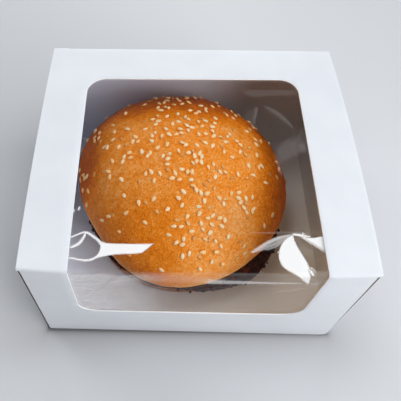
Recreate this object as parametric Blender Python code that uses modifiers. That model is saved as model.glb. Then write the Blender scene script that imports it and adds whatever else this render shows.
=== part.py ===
"""A sesame-seed burger in its shut takeaway carton.

The carton is one folded blank of thin white board. A window runs from its top over the
front fold and down the front, and a clear film lies behind it. Inside stand the bun's
heel, the patty and the bun's crown, one on the other.

Axes: X runs along the carton's front, Y from front to back, Z up. The origin is the
centre of the base. Every size is in metres.
"""

import math

import bmesh
import bpy
from mathutils import Matrix, Vector

# The carton, outside.
BOX_WIDTH = 0.145
BOX_DEPTH = 0.1277
BOX_HEIGHT = 0.0757
BOARD = 0.0005
FOLD_RADIUS = 0.0012
FOLD_SEGMENTS = 3
PANEL_CELLS = (10, 8, 6)  # how each panel is divided along X, Y and Z, so that it can bend

# The window, as it is cut in the flat lid: over the top and 45 mm down the front.
WINDOW_LEFT_X = -0.0530
WINDOW_RIGHT_X = 0.0504
WINDOW_BACK_Y = 0.0417
WINDOW_FOOT_Z = 0.0306
WINDOW_CORNER_RADIUS = 0.0092
WINDOW_CORNER_SEGMENTS = 5
WINDOW_SKEW = math.radians(0.56)
WINDOW_FLARE = 0.0013  # its right side leans out this much by the back

# The gaps where the lid and its front flap meet the end panels.
LEFT_GAP = 0.0008
RIGHT_GAP_TOP = 0.0014
RIGHT_GAP_FOOT = 0.0004
LID_SEAM = 0.00035
LID_SEAM_ENDS = 0.004
CUT_CLEARANCE = 0.010  # how far a cutter reaches past the board

# How a carton folded by hand strays from a true box.
TOP_RACK = math.radians(0.92)
TOP_TWIST = 0.0007
DEPTH_TAPER = 0.00075
LEFT_BOW = 0.0008
RIGHT_BOW = 0.0016
FRONT_BOW = 0.0011
FRONT_SAG = 0.0006
BACK_BULGE = 0.0008
SOFT_CORNER_RADIUS = 0.005
SOFT_CORNER_REACH = 0.030

# The film behind the window.
FILM = 0.00025
FILM_MARGIN = 0.007
FILM_FOLD_RADIUS = 0.0030
FILM_CELLS = (10, 8, 4, 4)  # across, and along its top, its bend and its front
GAP = 0.0003  # between neighbouring pieces

# The burger, from the carton's floor up.
HEEL_CENTRE = (-0.0030, 0.0068)
HEEL_RADIUS = 0.0510
HEEL_HEIGHT = 0.0104
PATTY_CENTRE = (-0.0026, 0.0064)
PATTY_RADIUS = 0.0538
PATTY_HEIGHT = 0.0090
PATTY_LOBE = 0.0042  # the patty sticks out furthest at its front right
PATTY_LOBE_AT = math.radians(-47)
PATTY_LOBE_WIDTH = math.radians(22)
CROWN_CENTRE = (-0.0054, 0.0066)
CROWN_RADIUS = 0.0553
CROWN_LIP = 0.0087  # from the cut face up to the widest ring
CROWN_DOME = 0.0374  # from the widest ring up to the top

# An uneven outline: for each number of waves round it, how deep and turned by how much.
HEEL_WAVES = {2: (0.008, 0.6), 3: (0.006, 2.0), 5: (0.004, 0.3)}
PATTY_WAVES = {3: (0.007, 0.9), 5: (0.006, 0.2), 8: (0.006, 1.1), 13: (0.005, 0.5)}
CROWN_WAVES = {
    2: (0.0277, math.radians(-48)),
    3: (0.0233, math.radians(22)),
    4: (0.0180, math.radians(-14)),
}

WHITE_BOARD = (0.86, 0.88, 0.92, 1.0)
CLEAR_FILM = (0.95, 0.96, 0.98, 1.0)
BAKED_CRUST = (0.55, 0.20, 0.045, 1.0)
HEEL_CRUST = (0.50, 0.22, 0.07, 1.0)
FRIED_MEAT = (0.07, 0.025, 0.012, 1.0)


# ---------------------------------------------------------------- small tools


def clear_scene():
    for obj in list(bpy.data.objects):
        bpy.data.objects.remove(obj, do_unlink=True)


def new_collection(name):
    collection = bpy.data.collections.new(name)
    bpy.context.scene.collection.children.link(collection)
    return collection


def material(name, colour, roughness, transmission=0.0):
    made = bpy.data.materials.new(name)
    made.use_nodes = True
    shader = made.node_tree.nodes["Principled BSDF"]
    shader.inputs["Base Color"].default_value = colour
    shader.inputs["Roughness"].default_value = roughness
    shader.inputs["Metallic"].default_value = 0.0
    shader.inputs["Transmission Weight"].default_value = transmission
    made.diffuse_color = colour
    return made


def object_from(name, bm, collection, finish=None):
    mesh = bpy.data.meshes.new(name)
    bm.to_mesh(mesh)
    bm.free()
    obj = bpy.data.objects.new(name, mesh)
    collection.objects.link(obj)
    if finish:
        mesh.materials.append(finish)
        mesh.shade_smooth()
        mesh.set_sharp_from_angle(angle=math.radians(35))
    return obj


def box_mesh(low, high):
    """A closed box between two corners."""
    bm = bmesh.new()
    low, high = Vector(low), Vector(high)
    size = Matrix.Diagonal((*(high - low), 1))
    bmesh.ops.create_cube(bm, size=1, matrix=Matrix.Translation((low + high) / 2) @ size)
    return bm


def cut_lines(bm, axis, places):
    """Adds an edge loop round the mesh at each place along an axis."""
    normal = Vector([float(i == axis) for i in range(3)])
    for place in places:
        geometry = bm.verts[:] + bm.edges[:] + bm.faces[:]
        bmesh.ops.bisect_plane(bm, geom=geometry, plane_co=normal * place, plane_no=normal)


def edges_where(bm, test):
    """The edges whose two ends both pass the test."""
    return [e for e in bm.edges if all(test(v.co) for v in e.verts)]


def bevel(bm, edges, radius, segments):
    bmesh.ops.bevel(
        bm,
        geom=edges,
        offset=radius,
        offset_type="OFFSET",
        affect="EDGES",
        segments=segments,
        profile=0.5,
        material=-1,
    )


def add_boolean(obj, cutter):
    cut = obj.modifiers.new("cut_" + cutter.name, "BOOLEAN")
    cut.operation = "DIFFERENCE"
    cut.solver = "EXACT"
    cut.object = cutter


def apply_modifiers(obj):
    """Makes the object's mesh what its modifiers give, so that it can be bent as a whole."""
    graph = bpy.context.evaluated_depsgraph_get()
    mesh = bpy.data.meshes.new_from_object(obj.evaluated_get(graph))
    obj.modifiers.clear()
    obj.data = mesh


# ---------------------------------------------------------------- the carton


def near(value, place):
    return abs(value - place) < 1e-6


def folded_by_hand(co):
    """Where a point of the true box lies once the carton is folded by hand."""
    x, y, z = co
    u = max(-1.0, min(1.0, x / (BOX_WIDTH / 2)))
    v = max(-1.0, min(1.0, y / (BOX_DEPTH / 2)))
    t = max(0.0, min(1.0, z / BOX_HEIGHT))

    # The front flap's lower right corner is soft and rounded.
    radius = SOFT_CORNER_RADIUS
    a = (x - (BOX_WIDTH / 2 - radius)) / radius
    b = (radius - z) / radius
    if a > 0 and b > 0:
        share = max(0.0, 1 - (y + BOX_DEPTH / 2) / SOFT_CORNER_REACH)
        x += share * radius * a * (math.sqrt(1 - min(b, 1.0) ** 2 / 2) - 1)
        z -= share * radius * b * (math.sqrt(1 - min(a, 1.0) ** 2 / 2) - 1)

    # The lid's sides bow out, its front fold bows forward and sags, and the back bulges.
    x += (RIGHT_BOW if u > 0 else LEFT_BOW) * u**5 * (1 - v * v) * t
    forward = max(0.0, -v) ** 3 * (1 - u**4) * t
    y -= FRONT_BOW * forward
    z -= FRONT_SAG * forward
    y += BACK_BULGE * max(0.0, v) ** 3 * (1 - u * u) * 4 * t * (1 - t)

    # The right end is deeper than the left. The top is turned a little over the base, and
    # its corners don't lie in a plane.
    y += DEPTH_TAPER * u * v
    angle = TOP_RACK * t
    x, y = x * math.cos(angle) - y * math.sin(angle), x * math.sin(angle) + y * math.cos(angle)
    z += TOP_TWIST * u * v * t
    return Vector((x, y, z))


def bend(obj):
    for vertex in obj.data.vertices:
        vertex.co = folded_by_hand(vertex.co)


def carton_shell(collection, finish):
    """The outside of the box with its panels divided and its four long folds rounded."""
    half_w, half_d = BOX_WIDTH / 2, BOX_DEPTH / 2
    bm = box_mesh((-half_w, -half_d, 0), (half_w, half_d, BOX_HEIGHT))
    extents = ((-half_w, half_w), (-half_d, half_d), (0, BOX_HEIGHT))
    for axis, ((low, high), cells) in enumerate(zip(extents, PANEL_CELLS)):
        cut_lines(bm, axis, [low + (high - low) * i / cells for i in range(1, cells)])
    for part in (0.5, 0.9):  # the soft corner needs closer lines
        cut_lines(bm, 0, [half_w - SOFT_CORNER_RADIUS * part])
        cut_lines(bm, 2, [SOFT_CORNER_RADIUS * part])
    folds = edges_where(
        bm,
        lambda co: near(abs(co.y), half_d) and (near(co.z, 0) or near(co.z, BOX_HEIGHT)),
    )
    bevel(bm, along_axis(folds, 0), FOLD_RADIUS, FOLD_SEGMENTS)
    bmesh.ops.recalc_face_normals(bm, faces=bm.faces[:])
    shell = object_from("carton", bm, collection, finish)
    wall = shell.modifiers.new("board", "SOLIDIFY")
    wall.thickness = BOARD
    wall.offset = -1
    wall.use_even_offset = True
    return shell


def along_axis(edges, axis):
    return [e for e in edges if abs(e.verts[0].co[axis] - e.verts[1].co[axis]) > 1e-6]


def window_cutters(collection):
    """Two rounded blocks, one through the lid and one through its front flap."""
    front_y = -BOX_DEPTH / 2
    outside, inside = front_y - CUT_CLEARANCE, front_y + CUT_CLEARANCE
    over, under = BOX_HEIGHT + CUT_CLEARANCE, BOX_HEIGHT - CUT_CLEARANCE

    top = box_mesh((WINDOW_LEFT_X, outside, under), (WINDOW_RIGHT_X, WINDOW_BACK_Y, over))
    corners = along_axis(edges_where(top, lambda co: near(co.y, WINDOW_BACK_Y)), 2)
    bevel(top, corners, WINDOW_CORNER_RADIUS, WINDOW_CORNER_SEGMENTS)
    for vertex in top.verts:
        share = (vertex.co.y - front_y) / (WINDOW_BACK_Y - front_y)
        if share > 0:
            vertex.co.y += share * math.tan(WINDOW_SKEW) * vertex.co.x
            vertex.co.x += share * WINDOW_FLARE if vertex.co.x > 0 else 0

    front = box_mesh((WINDOW_LEFT_X, outside, WINDOW_FOOT_Z), (WINDOW_RIGHT_X, inside, over))
    corners = along_axis(edges_where(front, lambda co: near(co.z, WINDOW_FOOT_Z)), 1)
    bevel(front, corners, WINDOW_CORNER_RADIUS, WINDOW_CORNER_SEGMENTS)
    return [
        object_from("lid_window", top, collection),
        object_from("flap_window", front, collection),
    ]


def gap_cutters(collection):
    """The open slits beside the front flap, and the seams under the lid's two side edges."""
    half_w, half_d = BOX_WIDTH / 2, BOX_DEPTH / 2
    inner = half_w - BOARD
    gap_foot, gap_head = 1.6 * BOARD, BOX_HEIGHT - FOLD_RADIUS
    seam_head = BOX_HEIGHT - BOARD
    made = []
    for hand, side, top_gap, foot_gap in (
        ("left", -1, LEFT_GAP, LEFT_GAP),
        ("right", 1, RIGHT_GAP_TOP, RIGHT_GAP_FOOT),
    ):
        gap = box_mesh((0, -half_d - CUT_CLEARANCE, gap_foot), (1, -half_d + 1.8 * BOARD, gap_head))
        for vertex in gap.verts:
            width = top_gap if near(vertex.co.z, gap_head) else foot_gap
            vertex.co.x = side * (inner - width * vertex.co.x)
        bmesh.ops.recalc_face_normals(gap, faces=gap.faces[:])
        made.append(object_from("flap_gap_" + hand, gap, collection))

        ends = sorted((side * (inner - 0.4 * BOARD), side * (half_w + CUT_CLEARANCE)))
        seam = box_mesh(
            (ends[0], -half_d + LID_SEAM_ENDS, seam_head - LID_SEAM),
            (ends[1], half_d - LID_SEAM_ENDS, seam_head),
        )
        made.append(object_from("lid_seam_" + hand, seam, collection))
    return made


def build_carton(collection, cutters, finish):
    carton = carton_shell(collection, finish)
    for cutter in window_cutters(cutters) + gap_cutters(cutters):
        cutter.hide_render = True
        cutter.display_type = "WIRE"
        add_boolean(carton, cutter)
    apply_modifiers(carton)
    bend(carton)
    return carton


# ---------------------------------------------------------------- the film


def build_film(collection, finish):
    """A sheet that lies under the lid, turns down in a soft bend and hangs behind the flap."""
    outside_z = BOX_HEIGHT - BOARD - GAP
    outside_y = -BOX_DEPTH / 2 + BOARD + GAP
    left, right = WINDOW_LEFT_X - FILM_MARGIN, WINDOW_RIGHT_X + FILM_MARGIN
    back_y = WINDOW_BACK_Y + FILM_MARGIN
    foot_z = WINDOW_FOOT_Z - FILM_MARGIN
    radius = FILM_FOLD_RADIUS
    top_run = back_y - (outside_y + radius)
    front_run = outside_z - radius - foot_z
    across, top_cells, bend_cells, front_cells = FILM_CELLS

    bm = bmesh.new()
    rows = top_cells + bend_cells + front_cells
    bmesh.ops.create_grid(bm, x_segments=across, y_segments=rows, size=0.5)
    for vertex in bm.verts:
        vertex.co.x = left + (vertex.co.x + 0.5) * (right - left)
        row = round((0.5 - vertex.co.y) * rows)
        if row <= top_cells:
            vertex.co.y = back_y - top_run * row / top_cells
            vertex.co.z = outside_z
        elif row <= top_cells + bend_cells:
            angle = (row - top_cells) / bend_cells * math.pi / 2
            vertex.co.y = outside_y + radius - radius * math.sin(angle)
            vertex.co.z = outside_z - radius + radius * math.cos(angle)
        else:
            vertex.co.y = outside_y
            down = front_run * (row - top_cells - bend_cells) / front_cells
            vertex.co.z = outside_z - radius - down
    film = object_from("window_film", bm, collection, finish)
    sheet = film.modifiers.new("sheet", "SOLIDIFY")
    sheet.thickness = FILM
    sheet.offset = -1
    sheet.use_even_offset = True
    apply_modifiers(film)
    bend(film)
    return film


# ---------------------------------------------------------------- the burger


def uneven(waves, angle):
    """The factor by which an uneven outline strays from a circle at an angle."""
    return 1 + sum(depth * math.cos(n * (angle - turn)) for n, (depth, turn) in waves.items())


def rounded(sine, cosine, squareness):
    """How far out and how far up a rounded profile is; 2 is an ellipse, more is boxier."""
    out = abs(cosine) ** (2 / squareness)
    up = math.copysign(abs(sine) ** (2 / squareness), sine)
    return out, up


def round_food(name, centre, foot, outline, below, above, cells, collection, finish):
    """A round piece of food: a sphere pressed to an outline and to a profile.

    outline gives the radius at an angle; below and above are each the height from the
    widest ring down or up, and how square that half of the profile is.
    """
    bm = bmesh.new()
    bmesh.ops.create_uvsphere(bm, u_segments=cells[0], v_segments=cells[1], radius=1)
    for vertex in bm.verts:
        flat = math.hypot(vertex.co.x, vertex.co.y)
        angle = math.atan2(vertex.co.y, vertex.co.x)
        height, squareness = above if vertex.co.z > 0 else below
        out, up = rounded(vertex.co.z, flat, squareness)
        radius = outline(angle) * (out if flat > 1e-6 else 0)
        vertex.co.x = centre[0] + radius * math.cos(angle)
        vertex.co.y = centre[1] + radius * math.sin(angle)
        vertex.co.z = foot + below[0] + up * height
    return object_from(name, bm, collection, finish)


def patty_outline(angle):
    turned = math.remainder(angle - PATTY_LOBE_AT, 2 * math.pi)
    lobe = PATTY_LOBE * math.exp(-((turned / PATTY_LOBE_WIDTH) ** 2))
    return PATTY_RADIUS * uneven(PATTY_WAVES, angle) + lobe


def build_burger(collection):
    heel_foot = BOARD + GAP
    patty_foot = heel_foot + HEEL_HEIGHT + GAP
    crown_foot = patty_foot + PATTY_HEIGHT + GAP
    round_food(
        "bun_heel",
        HEEL_CENTRE,
        heel_foot,
        lambda angle: HEEL_RADIUS * uneven(HEEL_WAVES, angle),
        (HEEL_HEIGHT * 0.6, 5.0),
        (HEEL_HEIGHT * 0.4, 6.0),
        (40, 16),
        collection,
        material("heel_crust", HEEL_CRUST, 0.7),
    )
    round_food(
        "patty",
        PATTY_CENTRE,
        patty_foot,
        patty_outline,
        (PATTY_HEIGHT * 0.5, 4.0),
        (PATTY_HEIGHT * 0.5, 4.0),
        (64, 14),
        collection,
        material("fried_meat", FRIED_MEAT, 0.6),
    )
    round_food(
        "bun_crown",
        CROWN_CENTRE,
        crown_foot,
        lambda angle: CROWN_RADIUS * uneven(CROWN_WAVES, angle),
        (CROWN_LIP, 3.6),
        (CROWN_DOME, 2.2),
        (48, 26),
        collection,
        material("baked_crust", BAKED_CRUST, 0.55),
    )


def main():
    clear_scene()
    parts = new_collection("burger_in_windowed_carton")
    cutters = new_collection("cutters")
    cutters.hide_render = True
    build_carton(parts, cutters, material("white_board", WHITE_BOARD, 0.8))
    build_film(parts, material("clear_film", CLEAR_FILM, 0.08, transmission=1.0))
    build_burger(parts)


main()
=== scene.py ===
"""The looks of a sesame-seed burger in its shut windowed carton.

Everything is in metres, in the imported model's own frame: X along the carton's front, Y
from front to back, Z up, with the origin at the centre of the base.
"""

import math
import random

import bmesh
import bpy
import numpy as np
from mathutils import Matrix, Vector, noise


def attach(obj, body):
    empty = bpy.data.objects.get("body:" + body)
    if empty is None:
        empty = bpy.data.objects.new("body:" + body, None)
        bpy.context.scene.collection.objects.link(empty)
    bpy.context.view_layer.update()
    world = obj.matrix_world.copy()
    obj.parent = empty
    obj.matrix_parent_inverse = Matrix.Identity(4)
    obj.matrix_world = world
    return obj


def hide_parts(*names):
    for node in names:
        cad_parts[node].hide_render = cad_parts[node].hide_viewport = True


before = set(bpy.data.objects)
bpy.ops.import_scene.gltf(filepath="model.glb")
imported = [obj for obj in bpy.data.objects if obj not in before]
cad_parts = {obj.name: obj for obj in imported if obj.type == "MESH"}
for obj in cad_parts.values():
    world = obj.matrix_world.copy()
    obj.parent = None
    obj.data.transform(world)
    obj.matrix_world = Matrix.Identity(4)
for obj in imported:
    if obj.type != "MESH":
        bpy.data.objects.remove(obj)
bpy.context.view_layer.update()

MM = 0.001

# The carton, as in the solids.
BOX_WIDTH = 0.145
BOX_DEPTH = 0.1277
BOX_HEIGHT = 0.0757
BOARD = 0.0005
FOLD_RADIUS = 0.0012
HALF_W, HALF_D = BOX_WIDTH / 2, BOX_DEPTH / 2
WINDOW_LEFT_X, WINDOW_RIGHT_X = -0.0530, 0.0504
WINDOW_BACK_Y, WINDOW_FOOT_Z = 0.0417, 0.0306
WINDOW_CORNER_RADIUS = 0.0092
WINDOW_SKEW = math.radians(0.56)
WINDOW_FLARE = 0.0013
LEFT_GAP, RIGHT_GAP_TOP, RIGHT_GAP_FOOT = 0.0008, 0.0014, 0.0004
LID_SEAM, LID_SEAM_ENDS = 0.00035, 0.004
CUT_CLEARANCE = 0.010
TOP_RACK = math.radians(0.92)
TOP_TWIST = 0.0007
DEPTH_TAPER = 0.00075
LEFT_BOW, RIGHT_BOW = 0.0008, 0.0016
FRONT_BOW, FRONT_SAG = 0.0011, 0.0006
BACK_BULGE = 0.0008
SOFT_CORNER_RADIUS, SOFT_CORNER_REACH = 0.005, 0.030
GAP = 0.0003
# The end flap's corner that stands out behind the lid: where it stops, over what width it
# comes back in, and how far out it stands.
EAR_X, EAR_SLOPE, EAR_OUT = -0.0654, 0.0005, 0.00045

# The film as drawn: how far it clears the board, how far it runs past the window, the radius
# of its front fold, how far it swells out along that fold, and how thick it is.
FILM_CLEARANCE = 0.05 * MM
FILM_MARGIN = 6.5 * MM
FILM_FOLD_RADIUS = 1.0 * MM
FILM_BULGE = 0.6 * MM
FILM_THICKNESS = 0.06 * MM

# The burger, as in the solids.
HEEL_CENTRE, HEEL_RADIUS, HEEL_HEIGHT = (-0.0030, 0.0068), 0.0510, 0.0104
HEEL_WAVES = {2: (0.008, 0.6), 3: (0.006, 2.0), 5: (0.004, 0.3)}
PATTY_CENTRE, PATTY_RADIUS, PATTY_HEIGHT = (-0.0026, 0.0064), 0.0538, 0.0090
PATTY_WAVES = {3: (0.007, 0.9), 5: (0.006, 0.2), 8: (0.006, 1.1), 13: (0.005, 0.5)}
PATTY_LOBE, PATTY_LOBE_AT, PATTY_LOBE_WIDTH = 0.0042, math.radians(-47), math.radians(22)
CROWN_CENTRE, CROWN_RADIUS = (-0.0054, 0.0066), 0.0553
CROWN_LIP, CROWN_DOME = 0.0087, 0.0374
CROWN_WAVES = {
    2: (0.0277, math.radians(-48)),
    3: (0.0233, math.radians(22)),
    4: (0.0180, math.radians(-14)),
}
HEEL_FOOT = BOARD + GAP
PATTY_FOOT = HEEL_FOOT + HEEL_HEIGHT + GAP
CROWN_FOOT = PATTY_FOOT + PATTY_HEIGHT + GAP

# How many seeds and crumbs there are, and what starts the random draws of each.
SEED_COUNT, SEED_DRAW = 290, 5
CRUMB_COUNT, CRUMB_DRAW = 110, 3


# ---------------------------------------------------------------- materials


def linear(code):
    """An sRGB hex colour as linear RGBA."""
    parts = [int(code[i : i + 2], 16) / 255 for i in (1, 3, 5)]
    return [c / 12.92 if c <= 0.04045 else ((c + 0.055) / 1.055) ** 2.4 for c in parts] + [1.0]


def add(tree, kind, inputs=(), stops=(), **settings):
    """Adds a shader node, with its settings and its links.

    inputs gives the sockets, by name or in their order, a value, another node's socket, or
    another node, which stands for its first output. stops are a ramp's (place, hex colour).
    """
    made = tree.nodes.new("ShaderNode" + kind)
    for name, value in settings.items():
        setattr(made, name, value)
    for socket, value in inputs.items() if isinstance(inputs, dict) else enumerate(inputs):
        if isinstance(value, bpy.types.Node):
            value = value.outputs[0]
        if isinstance(value, bpy.types.NodeSocket):
            tree.links.new(value, made.inputs[socket])
        else:
            made.inputs[socket].default_value = value
    if stops:
        elements = made.color_ramp.elements
        while len(elements) < len(stops):
            elements.new(0.5)
        for element, (place, code) in zip(elements, stops):
            element.position = place
            element.color = linear(code)
    return made


def new_material(name):
    made = bpy.data.materials.new(name)
    made.use_nodes = True
    made.node_tree.nodes.clear()
    return made, made.node_tree


def finish(tree, tint, relief, strength, depth, roughness, specular=0.5):
    """Ends a material: its tint, a relief this deep, and its shine."""
    bump = add(tree, "Bump", {"Strength": strength, "Distance": depth, "Height": relief})
    look = {"Base Color": tint, "Roughness": roughness, "Specular IOR Level": specular}
    add(tree, "OutputMaterial", [add(tree, "BsdfPrincipled", {**look, "Normal": bump})])


def finish_board(tree, place, tint, roughness, strength):
    """Ends a board with its fibres.

    They are about 1 mm long and 0.03 mm thick, and are drawn 0.6 mm across, so that they show.
    """
    fibres = {"Vector": place, "Scale": 1 / (0.625 * MM), "Detail": 3, "Roughness": 0.6}
    finish(tree, tint, add(tree, "TexNoise", fibres), strength, 0.02 * MM, roughness)


def white_board(name, light, dark, roughness, strength):
    """Folding boxboard. Clay coating gives its face a soft, even sheen, and its cut edge has none.

    The tint drifts a little from place to place.
    """
    made, tree = new_material(name)
    place = add(tree, "TexCoord").outputs["Object"]
    # Clouds in the coating, 25 mm across.
    clouds = add(tree, "TexNoise", {"Vector": place, "Scale": 1 / (25 * MM), "Detail": 2})
    tint = add(tree, "ValToRGB", [clouds], [(0.35, dark), (0.65, light)])
    finish_board(tree, place, tint, roughness, strength)
    return made


def inner_board():
    """The carton's uncoated back: matt, a cool white at the back left, and warmer at the
    front right. The tint is painted light: cool light on the back left, and warm light thrown
    from the bun on the front right."""
    made, tree = new_material("board_uncoated_back")
    place = add(tree, "TexCoord").outputs["Object"]
    parts = add(tree, "SeparateXYZ", [place]).outputs
    # Painted light: cooler towards the back and the left, warmer towards the front and the right.
    cool = 0.5
    for part, slope in ((parts["Y"], 0.25 / HALF_D), (parts["X"], -0.35 / HALF_W)):
        cool = add(tree, "Math", [part, slope, cool], operation="MULTIPLY_ADD")
    tint = add(tree, "ValToRGB", [cool], [(0.1, "#fff5e3"), (0.5, "#f6f9ff"), (0.9, "#e8f0ff")])
    finish_board(tree, place, tint, roughness=0.8, strength=0.5)
    return made


def clear_film():
    """Oriented polypropylene, 0.03 mm thick: clear, with a hard gloss and a trace of haze."""
    made, tree = new_material("clear_polypropylene_film")
    clear = add(tree, "BsdfTransparent", {"Color": linear("#ffffff")})
    # The fold is scuffed, which spreads its shine.
    scuffed = add(tree, "Attribute", attribute_name="scuffed").outputs["Fac"]
    spread = add(tree, "Math", [scuffed, 0.4, 0.035], operation="MULTIPLY_ADD")
    gloss = add(tree, "BsdfGlossy", {"Roughness": spread})
    # Schlick's curve, which is the same from either side of the sheet.
    facing = add(tree, "LayerWeight", {"Blend": 0.5}).outputs["Facing"]
    steep = add(tree, "Math", [facing, 5], operation="POWER")
    shine = add(tree, "Math", [steep, 0.08, 0.034], operation="MULTIPLY_ADD")
    skin = add(tree, "MixShader", [shine, clear, gloss])
    # Painted highlights and reflections: the film is mixed towards plain white where the lamps'
    # glints and the room's reflections are painted on it, over a faint haze everywhere.
    painted_highlight = add(tree, "Attribute", attribute_name="painted_highlight").outputs["Fac"]
    white = add(tree, "Math", [painted_highlight, 0.9, 0.0006], operation="MULTIPLY_ADD")
    haze_and_painted_highlights = add(tree, "BsdfDiffuse", {"Color": linear("#ffffff")})
    add(tree, "OutputMaterial", [add(tree, "MixShader", [white, skin, haze_and_painted_highlights])])
    return made


def baked_crust():
    """A glazed bun crust: golden on top, browner round its sides, tan at its foot.

    Its tint is partly painted light and shade: the back and the left and right rims are darker,
    and the front is paler towards the right.
    """
    made, tree = new_material("baked_bun_crust")
    place = add(tree, "TexCoord").outputs["Object"]
    parts = add(tree, "SeparateXYZ", [place]).outputs
    x, y, z = parts["X"], parts["Y"], parts["Z"]
    # Each mark, partly the oven's browning and partly painted light and shade: along what it
    # comes on, from where to where, and how much paler it is at its start and at its end.
    marks = [
        add(
            tree,
            "MapRange",
            {0: along, "From Min": start, "From Max": end, "To Min": first, "To Max": last},
            interpolation_type="SMOOTHSTEP",
        )
        for along, start, end, first, last in (
            (y, 0.019, 0.040, 0, -0.62),
            (x, 0.026, 0.040, 0, -0.38),
            (z, 0.036, CROWN_FOOT, 0, 0.5),
            (x, -0.043, -0.057, 0, -0.62),
            (y, -0.018, 0.0, 0, 1),
            (y, -0.008, -0.036, 0, 1),
            (x, -0.026, 0.006, -0.20, 0.12),
        )
    ]
    back, right, foot, left, behind, front, across = marks
    pale = 0.68
    for mark in (back, right, foot):
        pale = add(tree, "Math", [mark, pale], operation="ADD")
    # The left side is darkest behind, and the front pales from left to right: painted shade at the
    # back left, painted light at the front right.
    for mark, where in ((left, behind), (front, across)):
        pale = add(tree, "Math", [mark, where, pale], operation="MULTIPLY_ADD")
    # It browns in clouds of about 22 mm, 7 mm, 2 mm and 1 mm.
    for scale, depth in ((45, 0.20), (150, 0.26), (520, 0.36), (1300, 0.60)):
        cloud = {"Vector": place, "Scale": scale, "Detail": 2, "Roughness": 0.6}
        cloud = add(tree, "TexNoise", cloud)
        cloud = add(tree, "Math", [cloud, 2 * depth, -depth], operation="MULTIPLY_ADD")
        pale = add(tree, "Math", [pale, cloud], operation="ADD")
    browns = [(0, "#b5560a"), (0.35, "#dc7205"), (0.6, "#ee8a18"), (0.8, "#f49c42"), (1, "#f6b46c")]
    tint = add(tree, "ValToRGB", [pale], browns)
    # Pores half a millimetre apart, and a skin that puckers over a millimetre or two.
    pores = add(tree, "TexVoronoi", {"Vector": place, "Scale": 1800}, feature="SMOOTH_F1")
    pucker = {"Vector": place, "Scale": 700, "Detail": 4, "Roughness": 0.6}
    skin = [pores, 0.5, add(tree, "TexNoise", pucker)]
    skin = add(tree, "Math", skin, operation="MULTIPLY_ADD")
    finish(tree, tint, skin, strength=0.9, depth=0.2 * MM, roughness=0.5, specular=0.12)
    return made


def simple_food(name, stops, scale, grain, specular):
    """A food whose tint drifts between stops, with grains about a millimetre across."""
    made, tree = new_material(name)
    place = add(tree, "TexCoord").outputs["Object"]
    rough = {"Vector": place, "Detail": 4, "Roughness": 0.6}
    tint = add(tree, "ValToRGB", [add(tree, "TexNoise", {**rough, "Scale": scale})], stops)
    grains = add(tree, "TexNoise", {**rough, "Scale": 900})
    finish(tree, tint, grains, strength=0.7, depth=grain, roughness=0.6, specular=specular)
    return made


def hulled_sesame():
    """Sesame seeds: cream, satin, tanned by the oven on some sides and some seeds more."""
    made, tree = new_material("hulled_sesame")
    place = add(tree, "TexCoord").outputs["Object"]
    toast = add(tree, "Attribute", attribute_name="toast").outputs["Fac"]
    # The oven tans a seed unevenly, over a millimetre or two.
    uneven_tan = add(tree, "TexNoise", {"Vector": place, "Scale": 450, "Detail": 2})
    tan = add(tree, "Math", [uneven_tan, 0.5, toast], operation="MULTIPLY_ADD")
    creams = [(0.3, "#fbe1b0"), (0.6, "#fbd08f"), (0.85, "#f3ba72"), (1, "#dd9546")]
    tint = add(tree, "ValToRGB", [tan], creams)
    look = {"Base Color": tint, "Roughness": 0.45, "Specular IOR Level": 0.25}
    add(tree, "OutputMaterial", [add(tree, "BsdfPrincipled", look)])
    return made


# ---------------------------------------------------------------- small tools


def object_from(name, bm, materials, sharp_degrees=35):
    mesh = bpy.data.meshes.new(name)
    bm.to_mesh(mesh)
    bm.free()
    for finish in materials:
        mesh.materials.append(finish)
    mesh.shade_smooth()
    if sharp_degrees:
        mesh.set_sharp_from_angle(angle=math.radians(sharp_degrees))
    made = bpy.data.objects.new(name, mesh)
    bpy.context.scene.collection.objects.link(made)
    return made


def box_mesh(low, high):
    """A closed box between two corners."""
    bm = bmesh.new()
    low, high = Vector(low), Vector(high)
    size = Matrix.Diagonal((*(high - low), 1))
    bmesh.ops.create_cube(bm, size=1, matrix=Matrix.Translation((low + high) / 2) @ size)
    return bm


def cut_lines(bm, axis, places):
    """Adds an edge loop round the mesh at each place along an axis."""
    normal = Vector([float(i == axis) for i in range(3)])
    for place in places:
        geometry = bm.verts[:] + bm.edges[:] + bm.faces[:]
        bmesh.ops.bisect_plane(bm, geom=geometry, plane_co=normal * place, plane_no=normal)


def edges_along(bm, axis, test):
    """The edges that run along an axis and whose two ends both pass the test."""
    found = [e for e in bm.edges if all(test(v.co) for v in e.verts)]
    return [e for e in found if abs(e.verts[0].co[axis] - e.verts[1].co[axis]) > 1e-6]


def bevel(bm, edges, radius, segments, material=-1):
    bmesh.ops.bevel(
        bm,
        geom=edges,
        offset=radius,
        offset_type="OFFSET",
        affect="EDGES",
        segments=segments,
        profile=0.5,
        material=material,
        clamp_overlap=True,
    )


def near(value, place):
    return abs(value - place) < 1e-6


def clamp(value, low=0.0, high=1.0):
    return max(low, min(high, value))


def apply_modifiers(obj):
    graph = bpy.context.evaluated_depsgraph_get()
    mesh = bpy.data.meshes.new_from_object(obj.evaluated_get(graph))
    obj.modifiers.clear()
    obj.data = mesh


# ---------------------------------------------------------------- the carton


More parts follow.
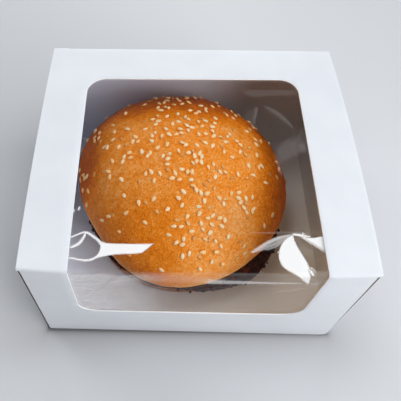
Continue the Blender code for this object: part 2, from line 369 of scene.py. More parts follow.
def folded_by_hand(co):
    """Where a point of the true box lies once the carton is folded by hand."""
    x, y, z = co
    across = clamp(x / HALF_W, -1.0)
    back = clamp(y / HALF_D, -1.0)
    up = clamp(z / BOX_HEIGHT)
    # The right foot is crushed round where it meets the front.
    radius = SOFT_CORNER_RADIUS
    past_x = (x - (HALF_W - radius)) / radius
    past_z = (radius - z) / radius
    if past_x > 0 and past_z > 0:
        share = max(0.0, 1 - (y + HALF_D) / SOFT_CORNER_REACH)
        x += share * radius * past_x * (math.sqrt(1 - min(past_z, 1.0) ** 2 / 2) - 1)
        z -= share * radius * past_z * (math.sqrt(1 - min(past_x, 1.0) ** 2 / 2) - 1)
    x += (RIGHT_BOW if across > 0 else LEFT_BOW) * across**5 * (1 - back * back) * up
    forward = max(0.0, -back) ** 3 * (1 - across**4) * up
    y -= FRONT_BOW * forward
    z -= FRONT_SAG * forward
    y += BACK_BULGE * max(0.0, back) ** 3 * (1 - across * across) * 4 * up * (1 - up)
    y += DEPTH_TAPER * across * back
    angle = TOP_RACK * up
    x, y = x * math.cos(angle) - y * math.sin(angle), x * math.sin(angle) + y * math.cos(angle)
    z += TOP_TWIST * across * back * up
    return Vector((x, y, z))


def folded_box():
    """The carton's outside, with its long folds rounded, in cells fine enough to bow."""
    bm = box_mesh((-HALF_W, -HALF_D, 0), (HALF_W, HALF_D, BOX_HEIGHT))
    for axis, (low, high, cells) in enumerate(
        ((-HALF_W, HALF_W, 36), (-HALF_D, HALF_D, 32), (0, BOX_HEIGHT, 18))
    ):
        cut_lines(bm, axis, [low + (high - low) * i / cells for i in range(1, cells)])
    for part in (0.3, 0.6, 0.9):
        cut_lines(bm, 0, [HALF_W - SOFT_CORNER_RADIUS * part])
        cut_lines(bm, 2, [SOFT_CORNER_RADIUS * part])
    cut_lines(bm, 0, [EAR_X, EAR_X + EAR_SLOPE])
    folds = edges_along(
        bm,
        0,
        lambda co: near(abs(co.y), HALF_D) and (near(co.z, 0) or near(co.z, BOX_HEIGHT)),
    )
    bevel(bm, folds, FOLD_RADIUS, 5)
    bmesh.ops.recalc_face_normals(bm, faces=bm.faces[:])
    return bm


def window_cutters():
    """What cuts the window out of the lid, and then out of the front."""
    over, under = BOX_HEIGHT + CUT_CLEARANCE, BOX_HEIGHT - CUT_CLEARANCE
    outer, inner = -HALF_D - CUT_CLEARANCE, -HALF_D + CUT_CLEARANCE
    top = box_mesh((WINDOW_LEFT_X, outer, under), (WINDOW_RIGHT_X, WINDOW_BACK_Y, over))
    corners = edges_along(top, 2, lambda co: near(co.y, WINDOW_BACK_Y))
    bevel(top, corners, WINDOW_CORNER_RADIUS, 12)
    for vertex in top.verts:
        share = (vertex.co.y + HALF_D) / (WINDOW_BACK_Y + HALF_D)
        if share > 0:
            vertex.co.y += share * math.tan(WINDOW_SKEW) * vertex.co.x
            vertex.co.x += share * WINDOW_FLARE if vertex.co.x > 0 else 0
    front = box_mesh((WINDOW_LEFT_X, outer, WINDOW_FOOT_Z), (WINDOW_RIGHT_X, inner, over))
    corners = edges_along(front, 1, lambda co: near(co.z, WINDOW_FOOT_Z))
    bevel(front, corners, WINDOW_CORNER_RADIUS, 12)
    return top, front


def side_cutters(side, top_gap, foot_gap):
    """What opens the gap beside the front flap, and the seam under the lid's edge."""
    # The slit beside the front flap takes the end panel's own front edge with it.
    foot, head = 1.6 * BOARD, BOX_HEIGHT - FOLD_RADIUS
    gap = box_mesh((-1, -HALF_D - CUT_CLEARANCE, foot), (1, -HALF_D + 1.8 * BOARD, head))
    for vertex in gap.verts:
        width = top_gap if near(vertex.co.z, head) else foot_gap
        inner = HALF_W - BOARD - width
        vertex.co.x = side * (inner if vertex.co.x > 0 else HALF_W + CUT_CLEARANCE)
    bmesh.ops.recalc_face_normals(gap, faces=gap.faces[:])
    left, right = sorted((side * (HALF_W - BOARD), side * (HALF_W + CUT_CLEARANCE)))
    seam_head = BOX_HEIGHT - BOARD
    seam = box_mesh(
        (left, -HALF_D + LID_SEAM_ENDS, seam_head - LID_SEAM),
        (right, HALF_D - LID_SEAM_ENDS, seam_head),
    )
    return gap, seam


def make_carton():
    """The folded blank, with its cut edges, its long folds and the gaps beside its flap."""
    outside = white_board("clay_coated_board", "#e6e9ef", "#e1e5eb", 0.5, 0.25)
    inside = inner_board()
    core = white_board("board_cut_edge", "#fdfdff", "#fafbfd", 0.7, 0.4)
    # Painted shadow: a dark board that lines the slits beside the front flap and the seams under
    # the lid's edges, where shade falls.
    seam = white_board("painted_shadow_in_gaps", "#4a4044", "#382f33", 0.9, 0.4)

    carton = object_from("carton_board", folded_box(), [outside, inside, core, seam])
    wall = carton.modifiers.new("board", "SOLIDIFY")
    wall.thickness = BOARD
    wall.offset = -1
    wall.use_even_offset = True
    wall.material_offset = 1
    cuts = [(cutter, core) for cutter in window_cutters()]
    # The slits and seams that these cut are lined with the painted shadow.
    for side in ((-1, LEFT_GAP, LEFT_GAP), (1, RIGHT_GAP_TOP, RIGHT_GAP_FOOT)):
        cuts += [(cutter, seam) for cutter in side_cutters(*side)]
    cutters = []
    for number, (cutter_mesh, lining) in enumerate(cuts):
        cutter = object_from(f"cutter_{number}", cutter_mesh, [lining], 0)
        cutters.append(cutter)
        cut = carton.modifiers.new(cutter.name, "BOOLEAN")
        cut.operation = "DIFFERENCE"
        cut.solver = "EXACT"
        cut.material_mode = "TRANSFER"
        cut.object = cutter
    apply_modifiers(carton)
    for cutter in cutters:
        bpy.data.objects.remove(cutter, do_unlink=True)
    crush_window_rim(carton.data)
    for vertex in carton.data.vertices:
        vertex.co = folded_by_hand(with_ear(vertex.co))
    carton.data.shade_smooth()
    carton.data.set_sharp_from_angle(angle=math.radians(35))
    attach(carton, "root")
    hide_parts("carton")


def crush_window_rim(mesh):
    """The die that cut the window has rounded its outer rim, where the white core shows."""
    bm = bmesh.new()
    bm.from_mesh(mesh)
    rim = [
        edge
        for edge in bm.edges
        if {face.material_index for face in edge.link_faces} == {0, 2}
        and all(abs(v.co.x) < HALF_W - 0.010 for v in edge.verts)
    ]
    bevel(bm, rim, 0.28 * MM, 2, 2)
    # The lid's right edge is crushed round too.
    right_edge = edges_along(bm, 1, lambda co: near(co.x, HALF_W) and near(co.z, BOX_HEIGHT))
    bevel(bm, right_edge, 0.35 * MM, 2, 2)
    bm.to_mesh(mesh)
    bm.free()


def with_ear(co):
    """The end flap's corner stands out behind the lid's back left corner."""
    across = clamp((EAR_X + EAR_SLOPE - co.x) / EAR_SLOPE)
    back = clamp((co.y - HALF_D) / (2 * FOLD_RADIUS) + 1)
    up = clamp((co.z - BOX_HEIGHT) / (4 * FOLD_RADIUS) + 1)
    return Vector((co.x, co.y + EAR_OUT * across * back * up, co.z))


# ---------------------------------------------------------------- the film


# Shapes on the film are in mm on the flat sheet: X across, Y from front to back. The front
# fold is at Y = FOLD_Y, and past it the sheet hangs down the front. Each line passes
# smoothly through its points, and a point given twice makes a corner.
FOLD_Y = -62.4
RING = [
    (-53.6, -48.6), (-50.2, -46.9), (-47.7, -45.9), (-45.9, -46.4), (-43.6, -48.1),
    (-41.6, -49.8), (-40.3, -52.2), (-40.9, -54.8), (-42.6, -56.8), (-45.6, -57.9),
    (-49.2, -57.7), (-53.6, -57.0),
]  # fmt: skip
BLADE = [
    (-19.8, -50.4), (-19.8, -50.4), (-25.0, -50.6), (-36.3, -50.8), (-39.6, -50.4),
    (-42.0, -49.3), (-42.0, -49.3), (-40.6, -51.0), (-40.2, -52.4), (-40.8, -54.6),
    (-43.5, -57.3), (-43.5, -57.3), (-39.5, -56.1), (-34.0, -55.0), (-25.4, -54.3),
    (-23.2, -53.3), (-19.8, -50.4), (-19.8, -50.4),
]  # fmt: skip
LEAF = [
    (38.2, -45.5), (38.2, -45.5), (35.2, -47.3), (32.8, -50.2), (31.5, -53.7), (31.6, -56.2),
    (33.0, -59.0), (38.2, -62.4), (38.2, -62.4), (42.4, -62.4), (42.4, -62.4), (42.7, -58.4),
    (41.2, -54.6), (39.4, -50.8), (38.4, -47.5), (38.2, -45.5), (38.2, -45.5),
]  # fmt: skip
CORNER = [
    (41.0, -45.4), (41.0, -45.4), (45.7, -46.6), (52.2, -45.6), (52.2, -45.6), (51.9, -53.0),
    (51.9, -53.0), (45.4, -48.2), (41.0, -45.4), (41.0, -45.4),
]  # fmt: skip
# Each dent: its outline, and how much it rises to the right and to the back.
DENTS = [(BLADE, (-0.025, 0.050)), (LEAF, (0.050, 0.035)), (CORNER, (0.060, 0.030))]

# Painted highlights drawn as lines: each line, how wide it is in the middle, and how white it is
# painted.
PAINTED_HIGHLIGHT_LINES = [
    (RING, 0.75, 1.0),
    ([(-47.2, -46.2), (-48.0, -48.6), (-49.4, -50.9), (-51.3, -52.2), (-52.6, -52.7)], 0.9, 1.0),
    ([(-53.4, -36.1), (-52.4, -35.6), (-50.6, -34.6)], 0.5, 0.7),
    ([(43.4, -60.7), (43.9, -61.6), (44.5, -62.6)], 0.7, 1.0),
    ([(37.4, -45.5), (30.0, -47.8), (20.3, -53.2)], 1.3, 0.34),
    ([(37.2, -46.0), (29.4, -49.8), (21.6, -53.0)], 1.0, 0.22),
    ([(36.8, -46.6), (31.0, -50.2), (26.0, -52.2)], 0.8, 0.16),
    ([(38.2, -45.2), (41.0, -45.3), (45.5, -45.9)], 0.7, 0.8),
    ([(42.0, -46.2), (46.8, -49.6), (51.9, -53.7)], 0.9, 0.35),
    ([(20.0, -44.7), (36.0, -44.4), (52.0, -44.4)], 0.5, 0.06),
    ([(-52.6, -79.2), (-47.1, -79.5), (-43.7, -80.9)], 1.5, 0.42),
    ([(44.6, -70.2), (48.0, -69.6), (51.6, -67.8)], 2.0, 0.10),
    ([(31.0, -79.5), (42.0, -76.6), (51.2, -70.0)], 2.4, 0.07),
    ([(29.9, 24.4), (28.8, 19.7), (26.4, 10.6)], 1.5, 0.035),
    ([(33.6, 24.5), (39.0, 20.6), (45.6, 12.2)], 2.4, 0.030),
]

# Painted highlights and reflections drawn as patches: the outline, how soft its edge is, and how
# white it is painted.
PAINTED_PATCHES = [
    (BLADE, 0.4, 0.97),
    (LEAF, 0.3, 0.95),
    (CORNER, 0.3, 0.95),
    ([(37.2, -61.2), (42.8, -61.2), (44.4, -70.4), (42.0, -67.4)], 0.3, 1.0),
    ([(-27, -62.2), (-8, -62.3), (10, -65.6), (8, -69.6), (-8, -70.2), (-22, -68.2)], 0.8, 0.055),
    ([(2, -66.4), (18, -67.2), (44.3, -69.8), (44.3, -70.2), (19, -70.4), (2, -71)], 0.7, 0.26),
    ([(24.6, 35.5), (51.5, 36.2), (51, 32.5), (40, 32.1), (31.1, 30.2), (25.2, 31.7)], 1.5, 0.022),
    ([(29.6, 25.2), (25.3, 21.5), (22.5, 17), (26.6, 12), (28.8, 19.7)], 1.4, 0.014),
    ([(35.3, -2.2), (41.2, 3.9), (50.6, 9.5), (50.8, -2), (43.1, -6.6), (37.2, -9.5)], 2.6, 0.026),
    ([(47, 1), (51.4, 3.5), (51, -2.2), (46.9, -3.1)], 1.0, 0.018),
    ([(35.2, -3.3), (37.2, -9.5), (37.8, -16.2), (36.1, -14.6)], 0.9, 0.05),
]
# Fine ridges that fan out near the window's back right corner: the line, width and rise.
RIDGES = [
    ([(30, 25), (28.8, 19.7), (26.4, 10.6)], 3.0, 0.45),
    ([(30, 25), (39.0, 20.6), (47.0, 11.0)], 4.0, 0.5),
    ([(30, 25), (34.0, 10.0), (36.0, -4.0)], 4.0, -0.4),
    ([(30, 25), (38.0, 29.0), (50.0, 31.0)], 3.0, 0.3),
]
# Where the film has folded over on its way down the front.
SLIT = [(-31.0, -61.0), (-35.8, -68.0), (-43.5, -81.0), (-48.3, -90.4), (-52.3, -98.0)]


def smooth_line(points, steps=6):
    """A Catmull-Rom curve through the points."""
    line = np.array([points[0], *points, points[-1]], float)
    curve = []
    for a, b, c, d in zip(line, line[1:], line[2:], line[3:]):
        for step in range(steps):
            t = step / steps
            curve.append(
                b + (c - a) * t / 2 + (a - 2.5 * b + 2 * c - d / 2) * t**2
                + (1.5 * (b - c) + (d - a) / 2) * t**3
            )  # fmt: skip
    return np.array([*curve, points[-1]])


def distance_to_line(x, y, line):
    """How far (x, y) is from a line, and how far along the line that is, from 0 to 1."""
    best, where = np.full(x.shape, 1e9), np.zeros(x.shape)
    for number, (a, b) in enumerate(zip(line, line[1:])):
        run = b - a
        length = max(run @ run, 1e-12)
        t = np.clip(((x - a[0]) * run[0] + (y - a[1]) * run[1]) / length, 0, 1)
        far = np.hypot(x - a[0] - t * run[0], y - a[1] - t * run[1])
        where = np.where(far < best, (number + t) / (len(line) - 1), where)
        best = np.minimum(best, far)
    return best, where


def depth_inside(x, y, line):
    """How far inside a closed outline (x, y) lies; less than 0 outside it."""
    inside = np.zeros(x.shape, bool)
    for a, b in zip(line, np.roll(line, -1, axis=0)):
        if a[1] != b[1]:
            crosses = (a[1] > y) != (b[1] > y)
            inside ^= crosses & (x < a[0] + (y - a[1]) * (b[0] - a[0]) / (b[1] - a[1]))
    far = distance_to_line(x, y, np.vstack([line, line[:1]]))[0]
    return np.where(inside, far, -far)


def front_painted_reflection(x, y):
    """A painted reflection on the film that hangs down the front: whitest at the left, in streaks.

    A slit where the film has folded over runs down through it, where less is painted.
    """
    down = FOLD_Y - y
    level = 0.25 * np.clip((-13 - x) / 28, 0, 1) + 0.03 * np.clip((x - 10) / 24, 0, 1)
    streaks = np.zeros(x.shape)
    for index in np.ndindex(x.shape):
        if down[index] > 0 and x[index] < 0:
            along = x[index] + 0.5 * down[index]
            across = down[index] + 0.30 * x[index]
            streaks[index] = noise.noise(Vector((along * 0.035, across * 0.22, 3.7)))
            streaks[index] += 0.6 * noise.noise(Vector((along * 0.06, across * 0.55, 9.1)))
    # Streaked hard near the fold, hardly at all below.
    level *= 1 + streaks * (0.25 + 0.85 * np.clip((17 - down) / 5, 0, 1))
    far, where = distance_to_line(x, y, smooth_line(SLIT))
    level *= 1 - 0.75 * np.exp(-((far / 0.8) ** 2)) * (1 - where)
    return np.where(y < FOLD_Y, np.clip(level, 0, 1) * np.clip(down / 1.5, 0, 1), 0)


def film_painted_highlights(x, y):
    """How white each point of the film is painted, 0 to 1: its painted highlights and reflections.
    """
    white = front_painted_reflection(x, y)
    for outline, soft, strength in PAINTED_PATCHES:
        smooth = outline in (BLADE, LEAF, CORNER)
        depth = depth_inside(x, y, smooth_line(outline) if smooth else np.array(outline, float))
        white = white + strength * np.clip(depth / soft + 0.3, 0, 1)
    for points, width, strength in PAINTED_HIGHLIGHT_LINES:
        far, where = distance_to_line(x, y, smooth_line(points))
        half = width / 2 * (0.4 + 0.6 * np.sin(where * math.pi))
        white = np.maximum(white, strength * np.clip(1.6 - far / half, 0, 1))
    return np.clip(white, 0, 1)


def film_relief(x, y, held):
    """How far the sheet stands off its flat place, in mm.

    Each dent is flat and leans one way, its corners are free to rise or fall, and the film
    between the dents and the board that holds it is drawn taut.
    """
    height = np.zeros(x.shape)
    # The film lies flat round the blade's tip.
    blade_tip = np.hypot(x - BLADE[0][0], y - BLADE[0][1])
    held = held | ((blade_tip < 4) & (depth_inside(x, y, smooth_line(BLADE)) < 0))
    dents = [(depth_inside(x, y, smooth_line(outline)) > 0, lean) for outline, lean in DENTS]
    for _ in range(1500):
        height[1:-1, 1:-1] = (
            height[:-2, 1:-1] + height[2:, 1:-1] + height[1:-1, :-2] + height[1:-1, 2:]
        ) / 4
        height[held] = 0
        for mask, (lean_x, lean_y) in dents:
            plane = lean_x * x[mask] + lean_y * y[mask]
            height[mask] = plane + np.mean(height[mask] - plane)
    for points, width, rise in RIDGES:
        far, where = distance_to_line(x, y, smooth_line(points))
        ends = np.sin(np.clip(where, 0, 1) * math.pi)
        height += rise * np.clip(1 - far / width, 0, 1) ** 2 * ends
    height[held] = 0
    return height


def graded(stretches):
    """Places along a line: each stretch has an end and a number of equal steps up to it."""
    places = [stretches[0][0]]
    for end, steps in stretches[1:]:
        start = places[-1]
        places += [start + (end - start) * (i + 1) / steps for i in range(steps)]
    return places


def make_film():
    """The sheet, laid under the lid, round the front fold and down inside the front."""
    outside_z = BOX_HEIGHT - BOARD - GAP - FILM_CLEARANCE
    outside_y = -HALF_D + BOARD + GAP + FILM_CLEARANCE
    left, right = WINDOW_LEFT_X - FILM_MARGIN, WINDOW_RIGHT_X + FILM_MARGIN
    back_y, foot_z = WINDOW_BACK_Y + FILM_MARGIN, WINDOW_FOOT_Z - FILM_MARGIN
    radius = FILM_FOLD_RADIUS
    top_run = back_y - (outside_y + radius)
    arc = radius * math.pi / 2
    front_run = outside_z - radius - foot_z
    # The cells are finest where the dents and creases are.
    columns = graded(
        [(left, 0), (-53.6 * MM, 6), (-17 * MM, 88), (28 * MM, 38), (52.4 * MM, 60), (right, 5)]
    )
    rows = graded(
        [
            (0, 0),
            (back_y + 42.5 * MM, 70),
            (top_run, 46),
            (top_run + arc, 6),
            (top_run + arc + 20 * MM, 26),
            (top_run + arc + front_run, 16),
        ]
    )
    x, along = np.meshgrid(columns, rows)
    flat_y = back_y - along
    held = (x < WINDOW_LEFT_X) | (x > WINDOW_RIGHT_X + WINDOW_FLARE) | (flat_y > WINDOW_BACK_Y)
    held |= along > top_run + arc + (outside_z - radius - WINDOW_FOOT_Z)
    height = film_relief(x / MM, flat_y / MM, held) * MM
    # How white the sheet is painted at each point, for its painted highlights and reflections.
    white = film_painted_highlights(x / MM, flat_y / MM)

    bm = bmesh.new()
    bmesh.ops.create_grid(bm, x_segments=len(columns) - 1, y_segments=len(rows) - 1, size=0.5)
    painted_highlight = bm.verts.layers.float.new("painted_highlight")
    scuffed = bm.verts.layers.float.new("scuffed")
    for vertex in bm.verts:
        column = round((vertex.co.x + 0.5) * (len(columns) - 1))
        row = round((0.5 - vertex.co.y) * (len(rows) - 1))
        run, lift = rows[row], height[row, column]
        vertex[painted_highlight] = white[row, column]
        from_fold = abs(run - top_run - arc / 2) - arc / 2
        vertex[scuffed] = clamp(1 - from_fold / MM)
        vertex.co.x = columns[column]
        if run <= top_run:
            vertex.co.y, vertex.co.z = back_y - run, outside_z + lift
        elif run <= top_run + arc:
            angle = (run - top_run) / radius
            vertex.co.y = outside_y + radius - (radius + lift) * math.sin(angle)
            vertex.co.z = outside_z - radius + (radius + lift) * math.cos(angle)
        else:
            vertex.co.y = outside_y - lift
            vertex.co.z = outside_z - radius - (run - top_run - arc)
        middle = 2 * (vertex.co.x - WINDOW_LEFT_X) / (WINDOW_RIGHT_X - WINDOW_LEFT_X) - 1
        near_fold = max(0.0, run / top_run - 0.9) * 10 if run < top_run else 1.0
        down = max(0.0, (vertex.co.z - WINDOW_FOOT_Z) / (outside_z - WINDOW_FOOT_Z))
        vertex.co.y -= FILM_BULGE * max(0.0, 1 - middle**4) * min(near_fold, down)
        vertex.co = folded_by_hand(vertex.co)
    film = object_from("film", bm, [clear_film()], 0)
    sheet = film.modifiers.new("sheet", "SOLIDIFY")
    sheet.thickness = FILM_THICKNESS
    sheet.offset = -1
    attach(film, "root")
    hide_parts("window_film")


# ---------------------------------------------------------------- the burger


def uneven(waves, angle):
    return 1 + sum(depth * math.cos(n * (angle - turn)) for n, (depth, turn) in waves.items())


def food_point(angle, lift, centre, foot, radius_at, below, above):
    """A point of a round piece of food: angle goes round it, lift from its foot to its top.

    below and above each give a half's height and how square its side is.
    """
    height, squareness = above if lift > 0 else below
    out = abs(math.cos(lift)) ** (2 / squareness)
    up = math.copysign(abs(math.sin(lift)) ** (2 / squareness), lift)
    radius = radius_at(angle) * out
    return Vector(
        (
            centre[0] + radius * math.cos(angle),
            centre[1] + radius * math.sin(angle),
            foot + below[0] + up * height,
        )
    )


def crown_shape(angle, lift):
    return food_point(
        angle,
        lift,
        centre=CROWN_CENTRE,
        foot=CROWN_FOOT,
        radius_at=lambda a: CROWN_RADIUS * uneven(CROWN_WAVES, a),
        below=(CROWN_LIP, 3.6),
        above=(CROWN_DOME, 2.2),
    )


def dented(point):
    """How far the crown's skin lies under its smooth shape."""
    broad = noise.fractal(point * 60, 1.0, 2.0, 2)
    fine = noise.fractal(point * 260 + Vector((7, 3, 1)), 0.9, 2.1, 3)
    # Near the top the skin has shrunk into fine wrinkles, 2 mm apart.
    from_wrinkles = math.hypot(point.x - 0.003, point.y - 0.014) / 0.013
    wrinkles = 0
    if from_wrinkles < 1:
        turned = Vector((point.x + point.y, (point.y - point.x) * 0.35, point.z))
        wrinkles = (1 - from_wrinkles**2) * (1 - abs(noise.noise(turned * 560)) * 4)
    return 0.40 * MM * broad + 0.12 * MM * fine + 0.26 * MM * wrinkles


def crown_surface(angle, lift):
    """A point on the crown's skin, and the way out of it."""
    step = 0.01
    here = crown_shape(angle, lift)
    along = crown_shape(angle + step, lift) - crown_shape(angle - step, lift)
    up = crown_shape(angle, min(lift + step, 1.57)) - crown_shape(angle, lift - step)
    out = along.cross(up)
    out = out.normalized() if out.length > 1e-12 else Vector((0, 0, 1))
    return here - out * dented(here), out


def sphere_of(cells):
    bm = bmesh.new()
    bmesh.ops.create_uvsphere(bm, u_segments=cells[0], v_segments=cells[1], radius=1)
    return bm


def angle_and_lift(co):
    """How far round the unit sphere a point lies, and how far up it."""
    return math.atan2(co.y, co.x), math.asin(clamp(co.z, -1.0))


def make_crown():
    bm = sphere_of((220, 130))
    for vertex in bm.verts:
        angle, lift = angle_and_lift(vertex.co)
        if abs(vertex.co.z) > 0.99999:
            vertex.co = crown_shape(0, lift)
        else:
            vertex.co = crown_surface(angle, lift)[0]
    crown = object_from("bun_crown_crust", bm, [baked_crust()], 0)
    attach(crown, "root")
    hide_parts("bun_crown")


# Where seeds lie thickest, in mm from above: the place, how wide, and how much more.
SEED_CLUSTERS = [
    (-0.2, 19.9, 5.5, 2.6),
    (-8.7, 24.2, 6.0, 2.6),
    (10.0, 12.0, 5.5, 2.4),
    (4.5, 4.5, 7.0, 1.9),
    (14.1, 4.8, 6.0, 1.6),
    (-20.0, 14.0, 7.0, 1.0),
    (-13.2, -12.0, 6.5, 2.2),
    (0.0, -16.0, 9.0, 1.9),
    (-7.6, -29.6, 6.0, 2.6),
    (4.0, -33.0, 7.0, 2.4),
    (12.0, -26.0, 9.0, 1.6),
    (-15.4, 36.1, 7.0, 1.4),
    (-38.0, 4.0, 8.0, 1.5),
    (33.0, 4.0, 7.0, 0.8),
    (26.0, -14.0, 7.0, 1.0),
]


def seed_density(point):
    x, y = point.x / MM, point.y / MM
    thick = 0.62 + sum(
        more * math.exp(-((x - at_x) ** 2 + (y - at_y) ** 2) / (2 * wide * wide))
        for at_x, at_y, wide, more in SEED_CLUSTERS
    )
    # Few seeds stuck at the front left.
    bare = math.exp(-((x + 24) ** 2 + (y + 34) ** 2) / 300)
    return thick * (1 - 0.85 * bare)


def make_seeds():
    """Hulled sesame seeds, drop-shaped, about 3 mm long, pressed a little into the crust."""
    draw = random.Random(SEED_DRAW)
    bm = bmesh.new()
    toast_of = bm.verts.layers.float.new("toast")
    placed = []
    while len(placed) < SEED_COUNT:
        angle = draw.uniform(-math.pi, math.pi)
        lift = math.acos(math.sqrt(draw.uniform(0, 0.975)) ** 1.1)
        point, out = crown_surface(angle, lift)
        apart = draw.uniform(1.5, 3.0) * MM
        if draw.uniform(0, 3.6) > seed_density(point):
            continue
        if any((point - other).length < apart for other in placed):
            continue
        placed.append(point)
        length = draw.uniform(2.7, 3.3) * MM
        width = length * draw.uniform(0.55, 0.66)
        thickness = draw.uniform(0.95, 1.2) * MM
        # A few have sunk in, and have browned with the crust.
        sunk = draw.random() < 0.12
        toast = draw.uniform(0.5, 0.8) if sunk else draw.gauss(0.09, 0.15)
        made = bmesh.ops.create_uvsphere(bm, u_segments=10, v_segments=7, radius=0.5)["verts"]
        for vertex in made:
            along = vertex.co.z * 2
            narrow = 1 - 0.30 * along - 0.14 * along * along
            # The oven tans a seed's rim and its point the most.
            rim = math.hypot(vertex.co.x, vertex.co.z) * 2
            vertex[toast_of] = toast + 0.32 * rim**3 + 0.15 * max(0.0, along)
            vertex.co = Vector(
                (vertex.co.x * width * narrow, vertex.co.y * thickness, vertex.co.z * length)
            )
        turn = Matrix.Rotation(draw.uniform(0, 2 * math.pi), 3, "Y")
        lean = Matrix.Rotation(draw.gauss(0, 0.14), 3, "X")
        face = out.to_track_quat("Y", "Z").to_matrix()
        place = Matrix.Translation(point + out * thickness * (0.0 if sunk else 0.3))
        bmesh.ops.transform(bm, matrix=place @ (face @ turn @ lean).to_4x4(), verts=made)
    seeds = object_from("sesame_seeds", bm, [hulled_sesame()], 0)
    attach(seeds, "root")


def patty_radius(angle):
    turned = math.remainder(angle - PATTY_LOBE_AT, 2 * math.pi)
    lobe = PATTY_LOBE * math.exp(-((turned / PATTY_LOBE_WIDTH) ** 2))
    return PATTY_RADIUS * uneven(PATTY_WAVES, angle) + lobe


def make_round(name, node, slot, look, cells, rough, **shape):
    """A flat round of food, in the shape that food_point takes, and rough by so much at a point."""
    bm = sphere_of(cells)
    middle = Vector((*shape["centre"], shape["foot"] + shape["below"][0]))
    for vertex in bm.verts:
        point = food_point(*angle_and_lift(vertex.co), **shape)
        vertex.co = point - (point - middle).normalized() * rough(point)
    made = object_from(name, bm, [look], 0)
    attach(made, "root")
    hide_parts(node)


def make_lower_stack():
    browns = [(0.36, "#1a0802"), (0.5, "#361304"), (0.62, "#5e250c"), (0.75, "#843c14")]
    meat = simple_food("fried_minced_beef", browns, scale=500, grain=0.5 * MM, specular=0.1)
    make_round(
        "patty_meat",
        "patty",
        "fried_meat",
        meat,
        cells=(300, 60),
        rough=lambda p: 1.3 * MM * abs(noise.fractal(p * 320, 0.9, 2.1, 4)),
        centre=PATTY_CENTRE,
        foot=PATTY_FOOT,
        radius_at=patty_radius,
        below=(PATTY_HEIGHT / 2, 4.0),
        above=(PATTY_HEIGHT / 2, 4.0),
    )
    make_crumbs(meat)
    tans = [(0.3, "#7c3f14"), (0.5, "#ac6224"), (0.7, "#cd8540")]
    make_round(
        "bun_heel_crust",
        "bun_heel",
        "heel_crust",
        simple_food("heel_crust", tans, scale=220, grain=0.15 * MM, specular=0.4),
        cells=(160, 40),
        rough=lambda p: 0.25 * MM * abs(noise.fractal(p * 200, 1.0, 2.0, 3)),
        centre=HEEL_CENTRE,
        foot=HEEL_FOOT,
        radius_at=lambda a: HEEL_RADIUS * uneven(HEEL_WAVES, a),
        below=(HEEL_HEIGHT * 0.6, 5.0),
        above=(HEEL_HEIGHT * 0.4, 6.0),
    )


def make_crumbs(meat):
    """Crumbs of fried meat, half a millimetre to two, that cling round the patty's edge."""
    draw = random.Random(CRUMB_DRAW)
    bm = bmesh.new()
    for _ in range(CRUMB_COUNT):
        # Most cling at the left and at the front right.
        middle, spread = draw.choice(((math.radians(198), 0.42), (math.radians(-47), 0.55)))
        angle = draw.gauss(middle, spread)
        size = draw.uniform(0.5, 1.9) * MM
        out = patty_radius(angle) + draw.uniform(-1.2, 0.3) * MM
        place = Vector(
            (
                PATTY_CENTRE[0] + out * math.cos(angle),
                PATTY_CENTRE[1] + out * math.sin(angle),
                PATTY_FOOT + draw.uniform(0.25, 0.95) * PATTY_HEIGHT,
            )
        )
        made = bmesh.ops.create_icosphere(bm, subdivisions=2, radius=size / 2)["verts"]
        for vertex in made:
            rough = noise.fractal((vertex.co + place) * 1400, 0.8, 2.0, 2)
            vertex.co = vertex.co * (1 + 0.45 * rough) + place
    crumbs = object_from("meat_crumbs", bm, [meat], 0)
    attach(crumbs, "root")


# ---------------------------------------------------------------- the studio


def tabletop():
    """A plain pale sheet, shaded round the carton's foot, where little light gets under it."""
    made, tree = new_material("pale_tabletop")
    place = add(tree, "TexCoord").outputs["Object"]
    parts = add(tree, "SeparateXYZ", [place]).outputs
    beside = []
    for part, half in ((parts["X"], HALF_W), (parts["Y"], HALF_D)):
        past_wall = add(tree, "Math", [part], operation="ABSOLUTE")
        past_wall = add(tree, "Math", [past_wall, half], operation="SUBTRACT")
        past_wall = add(tree, "Math", [past_wall, 0.0], operation="MAXIMUM")
        beside.append(add(tree, "Math", [past_wall, 2], operation="POWER"))
    away = add(tree, "Math", [add(tree, "Math", beside, operation="ADD")], operation="SQRT")
    light = 1.0
    for depth, reach in ((0.45, 1.4 * MM), (0.28, 22 * MM)):
        shade = add(tree, "Math", [away, -reach], operation="DIVIDE")
        shade = add(tree, "Math", [shade], operation="EXPONENT")
        light = add(tree, "Math", [shade, -depth, light], operation="MULTIPLY_ADD")
    # Sockets 6 and 7 are the two colours that are mixed, and 2 is their mix.
    shaded = {0: light, 6: (0, 0, 0, 1), 7: linear("#d1d3d7")}
    tint = add(tree, "Mix", shaded, data_type="RGBA").outputs[2]
    shader = add(tree, "BsdfPrincipled", {"Base Color": tint, "Roughness": 0.6})
    add(tree, "OutputMaterial", [shader])
    return made


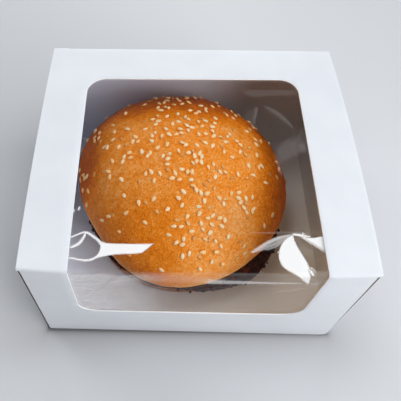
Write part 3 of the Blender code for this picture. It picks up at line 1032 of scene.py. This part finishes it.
def make_studio():
    bm = bmesh.new()
    bmesh.ops.create_grid(bm, x_segments=1, y_segments=1, size=6)
    floor = object_from("floor", bm, [tabletop()], 0)

    world = bpy.data.worlds.new("studio")
    bpy.context.scene.world = world
    world.use_nodes = True
    back = world.node_tree.nodes["Background"]
    back.inputs["Color"].default_value = (1, 1, 1, 1)
    back.inputs["Strength"].default_value = 0.03

    # Square softboxes: where each stands, its side, and how bright its face is. None of them
    # is mirrored in the flat film at the camera's own place. Those overhead are a little cool.
    for name, place, side, brightness in (
        ("overhead_right", (0.30, 0.12, 1.0), 0.24, 5.4),
        ("overhead_left", (-0.30, 0.12, 1.0), 0.24, 4.3),
        ("top_right", (0.80, -0.05, 0.95), 0.60, 2.1),
        ("top_front_right", (0.40, -0.40, 1.0), 0.50, 1.5),
        ("top_left", (-0.45, -0.20, 1.05), 0.50, 0.7),
        ("key", (0.60, 0.30, 0.80), 0.40, 0.6),
        ("back_left", (-0.70, 0.60, 0.80), 0.60, 2.3),
        ("back_low", (0.0, 1.20, 0.45), 0.60, 4.4),
        ("front_right", (0.70, -0.70, 0.60), 0.60, 2.5),
        ("near_right", (0.35, -0.35, 0.20), 0.30, 2.7),
    ):
        light = bpy.data.lights.new(name, "AREA")
        light.shape = "SQUARE"
        light.size = side
        light.energy = 4 * brightness * side * side
        if name.startswith("overhead"):
            light.color = (0.88, 0.94, 1.0)
        softbox = bpy.data.objects.new(name, light)
        softbox.location = place
        aim = Vector((0, 0, 0.04)) - softbox.location
        softbox.rotation_euler = aim.to_track_quat("-Z", "Y").to_euler()
        bpy.context.scene.collection.objects.link(softbox)

    camera = bpy.data.cameras.new("camera")
    camera.sensor_width = 36
    camera.lens = 44.61
    camera.shift_x = 0.0499
    camera.clip_start = 0.01
    view = bpy.data.objects.new("camera", camera)
    view.location = (-0.01619, -0.1430, 0.25513)
    view.rotation_euler = [math.radians(a) for a in (32.026, -2.65, -0.007)]
    bpy.context.scene.collection.objects.link(view)
    bpy.context.scene.camera = view
    bpy.context.scene.view_settings.view_transform = "Standard"


make_carton()
make_film()
make_crown()
make_seeds()
make_lower_stack()
make_studio()
